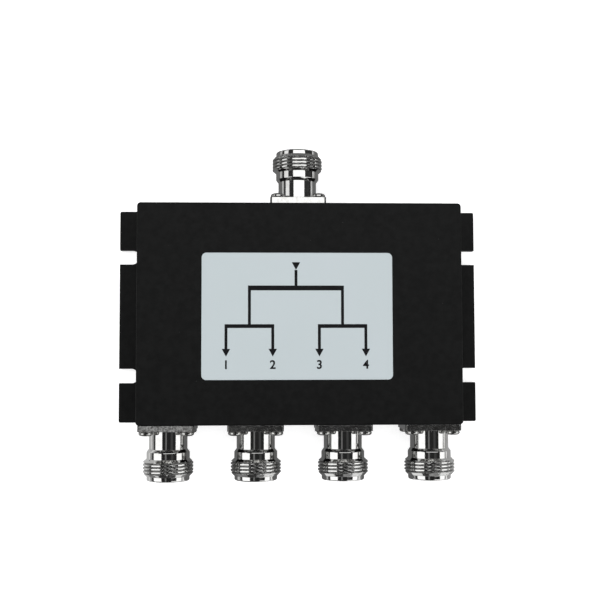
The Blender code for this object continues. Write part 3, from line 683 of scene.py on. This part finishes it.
def make_cover(paint, steel):
    """The plate in the back with its countersunk screws."""
    plate = plate_mesh(
        "cover_plate", COVER_HIGH.x, COVER_HIGH.y, COVER_CORNER, (0.0, 0.0),
        COVER_LOW.z, COVER_HIGH.z, COVER_EDGE_ROUND, COVER_EDGE_ROUND,
    )
    slope = (COVER_HEAD - COVER_SHANK) / COVER_HEAD_HEIGHT
    wide = COVER_HEAD + COVER_HEAD_ROOM + slope * CUT
    narrow = COVER_SHANK + COVER_GAP
    meet = COVER_HEAD_HEIGHT - (COVER_GAP - COVER_HEAD_ROOM) / slope
    countersink = turned_mesh("countersink", [
        (0.0, -CUT), (wide, -CUT), (narrow, meet), (narrow, COVER_HIGH.z + CUT), (0.0, COVER_HIGH.z + CUT),
    ], SMALL_SEGMENTS)
    places = [moved(*node_centre(f"cover_screw_{index}")) for index in COVER_SCREWS]
    plate = cut(plate, joined_mesh("countersinks", [(countersink, place) for place in places]))
    piece("cover_plate", plate, [paint], "back_cover")
    screw = turned_mesh("cover_screw_turned", [
        (0.0, 0.0), (COVER_HEAD - EDGE_BREAK, 0.0), (COVER_HEAD, EDGE_BREAK),
        (COVER_SHANK, COVER_HEAD_HEIGHT), (COVER_SHANK, COVER_SHANK_END - SHANK_POINT),
        (COVER_SHANK - SHANK_POINT, COVER_SHANK_END), (0.0, COVER_SHANK_END),
    ], SMALL_SEGMENTS)
    screw = cut(screw, cross_mesh("recess", RECESS_REACH, RECESS_WIDTH, -CUT, RECESS_DEPTH))
    for index, place in enumerate(places):
        name = f"cover_screw_{index + 1}"
        turn = Matrix.Rotation(FIRST_COVER_TURN + COVER_SCREW_TURN * index, 4, "Z")
        piece(f"{name}_turned", screw, [steel], name, place @ turn)


def pan_screw_mesh(shank_end):
    """A domed head on z = 0 with a cross recess."""
    profile = [(0.0, PAN_HEIGHT)]
    crown = PAN_RADIUS - PAN_SHOULDER
    rise = PAN_HEIGHT - PAN_CROWN_DROP - PAN_WALL
    for step in range(PAN_STEPS + 1):
        angle = PAN_CROWN_SLOPE + (math.pi / 2.0 - PAN_CROWN_SLOPE) * step / PAN_STEPS
        height = PAN_WALL + rise * math.cos(angle) / math.cos(PAN_CROWN_SLOPE)
        profile.append((crown + PAN_SHOULDER * math.sin(angle), height))
    profile += [
        (PAN_RADIUS, PAN_CHAMFER), (PAN_RADIUS - PAN_BASE_INSET, 0.0), (PAN_SHANK, 0.0),
        (PAN_SHANK, shank_end + SHANK_POINT), (PAN_SHANK - SHANK_POINT, shank_end), (0.0, shank_end),
    ]
    screw = turned_mesh("pan_screw", profile, SMALL_SEGMENTS)
    recess = cross_mesh("recess", RECESS_REACH, RECESS_WIDTH, PAN_HEIGHT - RECESS_DEPTH, PAN_HEIGHT + CUT)
    return cut(screw, recess)


def make_flange_screws(steel):
    """Four pan heads on each flange."""
    seat = FLANGE_FRONT + TINY
    screw = pan_screw_mesh(FLANGE_SHANK_END - seat)
    for port, name in enumerate(PORT_NAMES):
        for index, (x, y) in enumerate(flange_screw_offsets()):
            node = f"{name}_flange_screw_{index + 1}"
            turn = Matrix.Rotation(PORT_TURN * port + FLANGE_SCREW_TURN * index, 4, "Z")
            place = port_matrix(name) @ moved(x, y, seat) @ turn
            piece(f"{node}_domed", screw, [steel], node, place)


def outer_radius(station):
    """Radius of the barrel between collar and rim, before the thread is cut."""
    if station < THREAD_START:
        share = (station - COLLAR_END) / (THREAD_START - COLLAR_END)
        return COLLAR_RADIUS + share * (THREAD_RADIUS - COLLAR_RADIUS)
    return THREAD_RADIUS - max(station - THREAD_END, 0.0) * THREAD_END_SLOPE


def thread_radius(station):
    """Radius at a station as a function of the angle, for a right-hand helix with flat crests."""
    flank = 1.0 - THREAD_ROOT_SHARE - THREAD_CREST_SHARE

    def at(angle):
        phase = (station / THREAD_PITCH - angle / (2.0 * math.pi)) % 1.0
        from_root = abs(phase - 0.5) * 2.0
        height = min(max((from_root - THREAD_ROOT_SHARE) / flank, 0.0), 1.0)
        cut_radius = THREAD_RADIUS - THREAD_DEPTH * (1.0 - height)
        return min(outer_radius(station), cut_radius)

    return at


def barrel_profile():
    """Neck, collar, thread, small step, rim and socket, out along the outside and back in."""
    profile = [
        (0.0, FLANGE_FRONT / 2.0),
        (NECK_RADIUS, FLANGE_FRONT / 2.0),
        (NECK_RADIUS, NECK_END - EDGE_BREAK),
        (NECK_RADIUS + EDGE_BREAK, NECK_END),
        (COLLAR_RADIUS - EDGE_BREAK, COLLAR_START - EDGE_BREAK),
        (COLLAR_RADIUS, COLLAR_START + EDGE_BREAK),
        (COLLAR_RADIUS, COLLAR_END - EDGE_BREAK),
    ]
    step = THREAD_PITCH / THREAD_ROWS_PER_PITCH
    rows = int((RIM_START - COLLAR_END) / step)
    for row in range(rows + 1):
        station = COLLAR_END + row * step
        profile.append((thread_radius(station), station))
    profile.append((RIM_RADIUS, RIM_START + EDGE_BREAK))
    for index in range(RIM_STEPS + 1):
        angle = math.pi / 2.0 * index / RIM_STEPS
        radius = RIM_RADIUS - RIM_ROUND * (1.0 - math.cos(angle))
        profile.append((radius, SHELL_TIP - RIM_ROUND * (1.0 - math.sin(angle))))
    profile += [
        (MOUTH_RADIUS + MOUTH_CHAMFER, SHELL_TIP),
        (MOUTH_RADIUS, SHELL_TIP - MOUTH_CHAMFER),
        (MOUTH_RADIUS, SHELL_TIP - MOUTH_DEPTH),
        (0.0, SHELL_TIP - MOUTH_DEPTH),
    ]
    return profile


def shell_mesh():
    """Square flange and turned barrel in one, with the insulator's bore and the screw holes."""
    flange = plate_mesh(
        "connector_shell", FLANGE_HALF, FLANGE_HALF, FLANGE_CORNER, (0.0, 0.0),
        TINY, FLANGE_FRONT, FLANGE_EDGE_ROUND, FLANGE_EDGE_ROUND,
    )
    barrel = turned_mesh("barrel", barrel_profile(), TURNED_SEGMENTS)
    shell = combined_mesh(flange, barrel, "UNION")
    bore_end = SHELL_TIP - MOUTH_DEPTH + CUT
    bore = cylinder_mesh("bore", BORE_RADIUS, -CUT, bore_end, TURNED_SEGMENTS)
    hole = cylinder_mesh("hole", PAN_SHANK + COVER_GAP, -CUT, FLANGE_FRONT + CUT)
    cuts = [(bore, Matrix.Identity(4))]
    cuts += [(hole, moved(x, y)) for x, y in flange_screw_offsets()]
    shell = cut(shell, joined_mesh("shell_cuts", cuts))
    shell.materials.clear()
    return shell


def finish_shell(shell, barrel, flange, groove_shade, corner):
    """Gives the shell's faces their finishes by where they lie, with painted shade on the flange's corners
    and in the thread's grooves.
    """
    for material in (barrel, flange, groove_shade, corner):
        shell.materials.append(material)
    flange_index, groove_shade_index, shaded_corner_index = 1, 2, 3
    for polygon in shell.polygons:
        centre = polygon.center
        radius = math.hypot(centre.x, centre.y)
        tilt = min(abs(polygon.normal.x), abs(polygon.normal.y))
        off_barrel = max(abs(centre.x), abs(centre.y)) > NECK_RADIUS
        on_thread = COLLAR_END < centre.z < RIM_START and radius > NECK_RADIUS
        if centre.z < FLANGE_FRONT + TINY and off_barrel:
            # Faces that turn sideways at the flange's corners get painted shade
            on_shaded_corner = tilt > FLANGE_CORNER_TILT and radius > FLANGE_HALF
            polygon.material_index = shaded_corner_index if on_shaded_corner else flange_index
        # Faces down in the thread's grooves get painted shade
        elif on_thread and radius < outer_radius(centre.z) - GROOVE_LIP:
            polygon.material_index = groove_shade_index


def make_shells(bright, plain_flange, grained_flange, groove_shade, corner):
    """One shell at each port. The first output's flange is the grained one."""
    shell = shell_mesh()
    grained_shell = shell.copy()
    finish_shell(shell, bright, plain_flange, groove_shade, corner)
    finish_shell(grained_shell, bright, grained_flange, groove_shade, corner)
    for name in PORT_NAMES:
        node = f"{name}_connector_shell"
        mesh = grained_shell if name == "output_1" else shell
        turn = Matrix.Rotation(math.pi / 2.0 * QUARTER_TURNS[name], 4, "Z")
        piece(f"{node}_turned", mesh, [], node, port_matrix(name) @ turn)


def make_insulators(waxy):
    """The white stepped ring at the bottom of each socket."""
    front = SHELL_TIP - MOUTH_DEPTH - COVER_GAP
    outer = BORE_RADIUS - TINY
    profile = [
        (SPIGOT_RADIUS, -PORT_WALL), (SPIGOT_RADIUS, COVER_GAP), (outer, COVER_GAP),
        (outer, front - EDGE_BREAK), (outer - EDGE_BREAK, front),
        (CONTACT_RADIUS + TINY + EDGE_BREAK, front), (CONTACT_RADIUS + TINY, front - EDGE_BREAK),
        (CONTACT_RADIUS + TINY, CONTACT_SHOULDER - COVER_GAP),
        (TAIL_RADIUS + TINY, CONTACT_SHOULDER - COVER_GAP), (TAIL_RADIUS + TINY, -PORT_WALL),
    ]
    ring = turned_mesh("insulator_ring", profile, 2 * SMALL_SEGMENTS)
    for name in PORT_NAMES:
        node = f"{name}_insulator"
        piece(f"{node}_ring", ring, [waxy], node, port_matrix(name))


def make_contacts(gold):
    """A slotted socket whose tail reaches the board."""
    tip = SHELL_TIP - CONTACT_TIP_DEPTH
    profile = [
        (0.0, tip - CONTACT_BORE_DEPTH), (CONTACT_BORE, tip - CONTACT_BORE_DEPTH),
        (CONTACT_BORE, tip - 2.0 * EDGE_BREAK),
        (CONTACT_BORE + 2.0 * EDGE_BREAK, tip), (CONTACT_RADIUS - 3.0 * EDGE_BREAK, tip),
        (CONTACT_RADIUS - EDGE_BREAK, tip - 2.0 * EDGE_BREAK), (CONTACT_RADIUS, tip - 5.0 * EDGE_BREAK),
        (CONTACT_RADIUS, CONTACT_SHOULDER), (TAIL_RADIUS, CONTACT_SHOULDER),
        (TAIL_RADIUS, TAIL_END + EDGE_BREAK), (TAIL_RADIUS - EDGE_BREAK, TAIL_END), (0.0, TAIL_END),
    ]
    contact = turned_mesh("contact", profile, SMALL_SEGMENTS)
    contact = cut(contact, cross_mesh("slits", SLIT_REACH, SLIT_WIDTH, tip - SLIT_DEPTH, tip + CUT))
    turn = Matrix.Rotation(SLIT_TURN, 4, "Z")
    for name in PORT_NAMES:
        node = f"{name}_centre_contact"
        piece(f"{node}_slotted", contact, [gold], node, port_matrix(name) @ turn)


# Label


def strips_mesh(name, strips, z_low, z_high):
    """A flat sheet covering every (x_low, x_high, y_low, y_high) strip, as one solid."""
    xs = sorted({round(value, GRID_DIGITS) for strip in strips for value in strip[:2]})
    ys = sorted({round(value, GRID_DIGITS) for strip in strips for value in strip[2:]})
    cells = []
    for column in range(len(xs) - 1):
        for row in range(len(ys) - 1):
            x = (xs[column] + xs[column + 1]) / 2.0
            y = (ys[row] + ys[row + 1]) / 2.0
            if any(x0 < x < x1 and y0 < y < y1 for x0, x1, y0, y1 in strips):
                cells.append((column, row))
    verts = []
    numbers = {}

    def vert(column, row, z):
        place = (xs[column], ys[row], z)
        if place not in numbers:
            numbers[place] = len(verts)
            verts.append(place)
        return numbers[place]

    faces = []
    for column, row in cells:
        ring = [(column, row), (column + 1, row), (column + 1, row + 1), (column, row + 1)]
        faces += [[vert(*spot, z) for spot in ring] for z in (z_low, z_high)]
        neighbours = [(column, row - 1), (column + 1, row), (column, row + 1), (column - 1, row)]
        for side, neighbour in enumerate(neighbours):
            if neighbour not in cells:
                near = ring[side]
                far = ring[(side + 1) % len(ring)]
                low_edge = [vert(*near, z_low), vert(*far, z_low)]
                faces.append([*low_edge, vert(*far, z_high), vert(*near, z_high)])
    return closed_mesh(name, verts, faces)


def level_strip(x_from, x_to, y, width):
    """A strip along X, as x_low, x_high, y_low, y_high."""
    return (min(x_from, x_to), max(x_from, x_to), y - width / 2.0, y + width / 2.0)


def upright_strip(x, y_from, y_to, width):
    """A strip along Y, as x_low, x_high, y_low, y_high."""
    return (x - width / 2.0, x + width / 2.0, min(y_from, y_to), max(y_from, y_to))


def arrow_mesh(x, tip_y, low, high):
    """A solid triangle that points towards the outputs."""
    half = ARROW_WIDTH / 2.0
    points = [(x, tip_y), (x + half, tip_y + ARROW_HEIGHT), (x - half, tip_y + ARROW_HEIGHT)]
    return loft_mesh("arrow", [(points, low), (points, high)])


def numeral(text, x, y, low, ink):
    """A plain printed numeral, centred on a point."""
    curve = bpy.data.curves.new(f"numeral_{text}", "FONT")
    curve.body = text
    curve.size = NUMERAL_HEIGHT / NUMERAL_SHARE_OF_FONT
    curve.align_x = "CENTER"
    curve.align_y = "CENTER"
    curve.extrude = INK_THICKNESS / 2.0
    curve.offset = NUMERAL_WEIGHT
    source = bpy.data.objects.new(f"numeral_{text}_outline", curve)
    bpy.context.scene.collection.objects.link(source)
    depsgraph = bpy.context.evaluated_depsgraph_get()
    mesh = bpy.data.meshes.new_from_object(source.evaluated_get(depsgraph))
    bpy.data.objects.remove(source, do_unlink=True)
    work = bmesh.new()
    work.from_mesh(mesh)
    bmesh.ops.remove_doubles(work, verts=work.verts, dist=NUMERAL_SEAM)
    bmesh.ops.recalc_face_normals(work, faces=work.faces)
    work.to_mesh(mesh)
    work.free()
    mesh.materials.clear()
    place = moved(x, y, low + INK_THICKNESS / 2.0)
    piece(f"numeral_{text}", mesh, [ink], None, place)


def sign_strips(places, input_base):
    """One line from the input that parts into two and then into four."""
    pairs = [(places[0] + places[1]) / 2.0, (places[2] + places[3]) / 2.0]
    half = STEM_WIDTH / 2.0
    strips = [
        upright_strip(PRINT_CENTRE_X, input_base, FIRST_BRANCH_Y, STEM_WIDTH),
        level_strip(pairs[0] - half, pairs[1] + half, FIRST_BRANCH_Y, BRANCH_WIDTH),
    ]
    for pair, x in enumerate(pairs):
        left, right = places[2 * pair], places[2 * pair + 1]
        strips.append(upright_strip(x, FIRST_BRANCH_Y, SECOND_BRANCH_Y, STEM_WIDTH))
        strips.append(level_strip(left - half, right + half, SECOND_BRANCH_Y, SECOND_BRANCH_WIDTH))
    for x in places:
        strips.append(upright_strip(x, SECOND_BRANCH_Y, ARROW_TIP_Y + ARROW_HEIGHT, STEM_WIDTH))
    return strips


def make_label(film, ink):
    """A pale plate that carries a one-to-four branching sign and plain numerals."""
    centre = ((LABEL_LOW.x + LABEL_HIGH.x) / 2.0, (LABEL_LOW.y + LABEL_HIGH.y) / 2.0)
    top = LABEL_HIGH.z - PRINT_ROOM
    plate = plate_mesh(
        "label_plate", (LABEL_HIGH.x - LABEL_LOW.x) / 2.0, (LABEL_HIGH.y - LABEL_LOW.y) / 2.0,
        LABEL_CORNER, centre, DEPTH + TINY, top, 0.0, LABEL_EDGE_ROUND,
    )
    piece("label_plate", plate, [film], "label")
    places = [PRINT_CENTRE_X + OUTPUT_MARK_SPACING * step for step in OUTPUT_MARK_STEPS]
    input_base = INPUT_MARK_Y - ARROW_HEIGHT / 2.0
    high = top + INK_THICKNESS
    sign = strips_mesh("branching_sign", sign_strips(places, input_base), top, high)
    piece("branching_sign", sign, [ink])
    tips = [(PRINT_CENTRE_X, input_base)] + [(x, ARROW_TIP_Y) for x in places]
    arrows = [(arrow_mesh(x, y, top, high), Matrix.Identity(4)) for x, y in tips]
    piece("sign_arrows", joined_mesh("sign_arrows", arrows), [ink])
    for index, x in enumerate(places):
        numeral(str(index + 1), x, NUMERAL_Y, top, ink)


def finish_inner_nodes(laminate, copper, ceramic, steel):
    """Pieces under the cover keep their solids and get finishes of their own."""
    finishes = {"circuit_board": laminate, "trace": copper}
    finishes.update({f"isolation_resistor_{index}": ceramic for index in RESISTORS})
    finishes.update({f"board_screw_{index}": steel for index in BOARD_SCREWS})
    for name, material in finishes.items():
        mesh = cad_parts[name].data
        mesh.materials.clear()
        mesh.materials.append(material)


# Studio

FLOOR_SIZE = 6.0
FLOOR_Z = -0.05 * MM
FLOOR_COLOUR = (0.80, 0.80, 0.80, 1.0)
FLOOR_GLOW = 0.72
AMBIENT_LEVEL = 0.50
DOME_RADIUS = 1.5
DOME_LAYER = 0.02
PANEL_STEPS = 16
# For each panel: degrees from and to, slopes from and to, and brightness
DOME_PANELS = {
    "grey_dome": (-90.0, 90.0, -1.0, 1.0, 0.30),
    "front_flag": (-90.0, 50.0, -1.0, -0.62, 0.04),
    "back_flag": (-90.0, 80.0, 0.62, 1.0, 0.04),
    "left_flag": (-90.0, -75.5, -1.0, 1.0, 0.06),
    "right_wall": (80.0, 90.0, -1.0, 1.0, 0.42),
    "dark_ceiling": (-32.0, 50.0, -1.0, 1.0, 0.022),
    "left_panel": (-75.5, -32.0, -0.60, 0.60, 1.5),
    "right_panel": (50.0, 80.0, -0.74, 0.64, 1.5),
    "front_right_panel": (22.0, 82.0, -0.78, -0.35, 1.4),
    "ceiling_gap": (-13.0, -5.0, -0.6, 0.03, 0.20),
    "ceiling_seam": (18.0, 31.0, -0.35, 0.03, 0.06),
    "input_surround": (-90.0, 90.0, 0.04, 0.60, 0.03),
    "input_panel": (-23.5, 40.6, 0.04, 0.60, 1.6),
    "input_left_panel": (-76.0, -51.0, 0.04, 0.60, 1.1),
}
# The mats are painted reflections of the floor's shadow and light round the part, seen only by shiny
# pieces
# For each mat: x from and to, y from and to, and brightness
FLOOR_MATS = {
    "dark_mat": (-0.048, 0.052, -0.066, 0.03, 0.15),
    "back_mat": (-0.048, 0.052, 0.03, 0.30, 0.18),
    "left_mat": (-0.075, -0.048, -0.066, 0.16, 0.60),
    "right_mat": (0.052, 0.20, -0.066, 0.16, 0.45),
    "front_left_mat": (-0.075, -0.020, -0.16, -0.066, 0.25),
    "front_mat": (-0.020, 0.20, -0.16, -0.066, 0.95),
    "near_left_mat": (-0.10, -0.075, -0.16, 0.30, 0.85),
    "far_left_mat": (-3.0, -0.10, -0.16, 0.30, 0.42),
    "far_front_mat": (-3.0, 0.03, -3.0, -0.16, 0.04),
    "far_right_mat": (0.03, 3.0, -3.0, -0.16, 0.25),
    "far_back_mat": (-3.0, 3.0, 0.30, 3.0, 0.10),
}
MAT_Z = -0.02 * MM
# For each lamp: place and power
LAMPS = {
    "key_lamp": ((-0.35, 0.25, 0.75), 3.4),
    "fill_lamp": ((0.45, -0.30, 0.70), 2.2),
}
LAMP_SIZE = 0.7
CLIP_START = 10.0 * MM
# The camera turns by degrees about X, Y and Z
LENS_MM = 58.08
SENSOR_MM = 36.0
CAMERA_PLACE = (-11.463 * MM, -13.389 * MM, 318.984 * MM)
CAMERA_TURN = (3.3467, -2.1760, -0.1249)


def shown_to_eye_or_mirror(nodes, links):
    """One for camera, glossy and transmission rays, and zero for the rest."""
    path = nodes.new("ShaderNodeLightPath")
    total = path.outputs["Is Camera Ray"]
    for name in ("Is Glossy Ray", "Is Transmission Ray"):
        add = nodes.new("ShaderNodeMath")
        add.operation = "MAXIMUM"
        links.new(total, add.inputs[0])
        links.new(path.outputs[name], add.inputs[1])
        total = add.outputs[0]
    return total


def make_floor():
    """Takes the part's shadow, and is white to the eye and in mirrors."""
    half = FLOOR_SIZE / 2.0
    corners = [(-half, -half, 0), (half, -half, 0), (half, half, 0), (-half, half, 0)]
    mesh = bpy.data.meshes.new("floor")
    mesh.from_pydata(corners, [], [(0, 1, 2, 3)])
    material = bpy.data.materials.new("floor_white")
    material.use_nodes = True
    nodes, links = material.node_tree.nodes, material.node_tree.links
    nodes.clear()
    diffuse = nodes.new("ShaderNodeBsdfDiffuse")
    diffuse.inputs["Color"].default_value = FLOOR_COLOUR
    glow = nodes.new("ShaderNodeEmission")
    scale = nodes.new("ShaderNodeMath")
    scale.operation = "MULTIPLY"
    scale.inputs[1].default_value = FLOOR_GLOW
    links.new(shown_to_eye_or_mirror(nodes, links), scale.inputs[0])
    links.new(scale.outputs[0], glow.inputs["Strength"])
    add = nodes.new("ShaderNodeAddShader")
    links.new(diffuse.outputs[0], add.inputs[0])
    links.new(glow.outputs[0], add.inputs[1])
    output = nodes.new("ShaderNodeOutputMaterial")
    links.new(add.outputs[0], output.inputs["Surface"])
    mesh.materials.append(material)
    floor = bpy.data.objects.new("floor", mesh)
    floor.location.z = FLOOR_Z
    bpy.context.scene.collection.objects.link(floor)


def stage_card(name, verts, faces, level):
    """A studio card that only shiny surfaces see: a bright one is a reflector, a dark one a flag."""
    mesh = bpy.data.meshes.new(name)
    mesh.from_pydata(verts, [], faces)
    material = bpy.data.materials.new(name)
    material.use_nodes = True
    nodes, links = material.node_tree.nodes, material.node_tree.links
    nodes.clear()
    glow = nodes.new("ShaderNodeEmission")
    glow.inputs["Strength"].default_value = level
    output = nodes.new("ShaderNodeOutputMaterial")
    links.new(glow.outputs[0], output.inputs["Surface"])
    mesh.materials.append(material)
    card = bpy.data.objects.new(name, mesh)
    bpy.context.scene.collection.objects.link(card)
    card.visible_camera = False
    card.visible_diffuse = False
    card.visible_shadow = False


def make_panel(name, layer, turn_low, turn_high, slope_low, slope_high, level):
    """A card on the studio's dome, where later layers hang in front.

    Its place is given as the directions it fills: degrees from straight up towards +X, and
    slopes towards +Y.
    """
    radius = DOME_RADIUS - DOME_LAYER * layer
    verts = []
    for row in range(PANEL_STEPS + 1):
        slope = slope_low + (slope_high - slope_low) * row / PANEL_STEPS
        spread = math.sqrt(1.0 - slope * slope)
        for column in range(PANEL_STEPS + 1):
            turn = math.radians(turn_low + (turn_high - turn_low) * column / PANEL_STEPS)
            direction = (spread * math.sin(turn), slope, spread * math.cos(turn))
            verts.append([radius * part for part in direction])
    faces = []
    for row in range(PANEL_STEPS):
        for column in range(PANEL_STEPS):
            first = row * (PANEL_STEPS + 1) + column
            faces.append((first, first + 1, first + PANEL_STEPS + 2, first + PANEL_STEPS + 1))
    stage_card(name, verts, faces, level)


def make_mat(name, x_low, x_high, y_low, y_high, level):
    """A card on the floor close round the part, which shades the undersides of shiny pieces: a painted
    reflection of the floor's shadow and light round the part.
    """
    corners = [(x_low, y_low), (x_high, y_low), (x_high, y_high), (x_low, y_high)]
    stage_card(name, [(x, y, MAT_Z) for x, y in corners], [(0, 1, 2, 3)], level)


def make_world():
    """White to the eye and in mirrors, and plain soft light on surfaces."""
    world = bpy.data.worlds.new("studio")
    bpy.context.scene.world = world
    world.use_nodes = True
    nodes, links = world.node_tree.nodes, world.node_tree.links
    nodes.clear()
    level = nodes.new("ShaderNodeMapRange")
    level.inputs["To Min"].default_value = AMBIENT_LEVEL
    level.inputs["To Max"].default_value = 1.0
    links.new(shown_to_eye_or_mirror(nodes, links), level.inputs["Value"])
    background = nodes.new("ShaderNodeBackground")
    background.inputs["Color"].default_value = (1.0, 1.0, 1.0, 1.0)
    links.new(level.outputs["Result"], background.inputs["Strength"])
    output = nodes.new("ShaderNodeOutputWorld")
    links.new(background.outputs[0], output.inputs["Surface"])


def make_lamp(name, place, power):
    """A large soft lamp aimed at the part."""
    data = bpy.data.lights.new(name, "AREA")
    data.shape = "RECTANGLE"
    data.size = LAMP_SIZE
    data.size_y = LAMP_SIZE
    data.energy = power
    lamp = bpy.data.objects.new(name, data)
    lamp.location = place
    lamp.rotation_euler = (-Vector(place)).to_track_quat("-Z", "Y").to_euler()
    lamp.visible_glossy = False
    bpy.context.scene.collection.objects.link(lamp)


def make_camera():
    """The view that the photo's edges were fitted with."""
    data = bpy.data.cameras.new("camera")
    data.sensor_width = SENSOR_MM
    data.lens = LENS_MM
    data.clip_start = CLIP_START
    camera = bpy.data.objects.new("camera", data)
    camera.location = CAMERA_PLACE
    camera.rotation_euler = [math.radians(angle) for angle in CAMERA_TURN]
    bpy.context.scene.collection.objects.link(camera)
    bpy.context.scene.camera = camera


def make_studio():
    make_floor()
    make_world()
    for layer, (name, directions) in enumerate(DOME_PANELS.items()):
        make_panel(name, layer, *directions)
    for name, extent in FLOOR_MATS.items():
        make_mat(name, *extent)
    for name, (place, power) in LAMPS.items():
        make_lamp(name, place, power)
    make_camera()
    bpy.context.scene.view_settings.view_transform = "Standard"


def main():
    paint = powder_coat()
    bright = bright_nickel()
    steel = screw_steel()
    make_housing(paint)
    make_cover(paint, steel)
    make_shells(bright, flange_nickel(), grained_nickel(), painted_shade_groove_nickel(), painted_shade_corner_nickel())
    make_flange_screws(steel)
    make_insulators(waxy_insulator())
    make_contacts(gold_plate())
    make_label(label_film(), black_ink())
    finish_inner_nodes(board_laminate(), bare_copper(), chip_ceramic(), steel)
    make_studio()


main()
